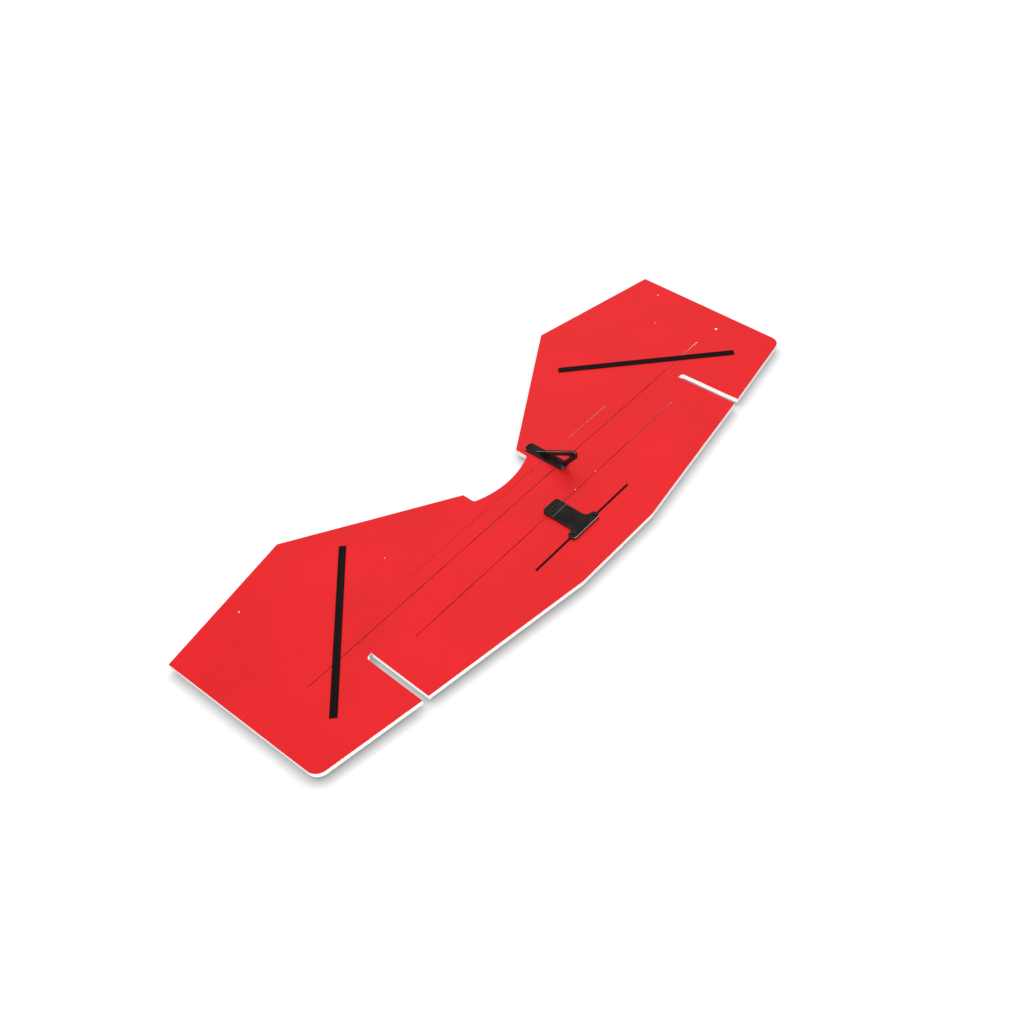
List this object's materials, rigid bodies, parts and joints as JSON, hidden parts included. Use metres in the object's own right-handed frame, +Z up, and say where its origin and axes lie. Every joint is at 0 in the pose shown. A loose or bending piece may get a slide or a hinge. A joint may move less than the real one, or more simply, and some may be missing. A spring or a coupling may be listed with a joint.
{
  "type": "model aeroplane horizontal tail",
  "caption": "Flat-foam stabiliser with a hinged elevator, balance tips, carbon stiffeners, a fuselage mount plate and a control horn.",
  "frame": {"origin": "middle of the fuselage seat, on the underside of the stabiliser below the mount plate, 20 mm ahead of the hinge line", "axes": "+X along the span, towards the tip on the control horn's side; +Y aft, from the stabiliser to the elevator; +Z up, out of the face that carries the horn and the plate"},
  "size_m": [0.3962, 0.1503, 0.0204],
  "materials": {
    "foam": "red printed face on white closed-cell foam, white at the cut edges and underneath",
    "carbon": "satin pultruded carbon",
    "moulded_plastic": "satin moulded black nylon"
  },
  "bodies": {
    "stabiliser": {"stabiliser_foam": "foam", "hinge_skin": "foam", "stabiliser_spar": "carbon", "front_rod": "carbon", "mount_plate": "moulded_plastic"},
    "elevator": {"elevator_foam": "foam", "elevator_long_spar": "carbon", "elevator_short_spar": "carbon", "control_horn": "moulded_plastic", "left_brace_strip": "carbon", "right_brace_strip": "carbon"}
  },
  "joints": [
    {"name": "elevator_hinge", "type": "hinge", "parent": "stabiliser", "child": "elevator", "pos_m": [0, 0.02, 0.0028], "axis": [1, 0, 0], "range_deg": [-45, 45], "deforming": ["hinge_skin"]}
  ]
}
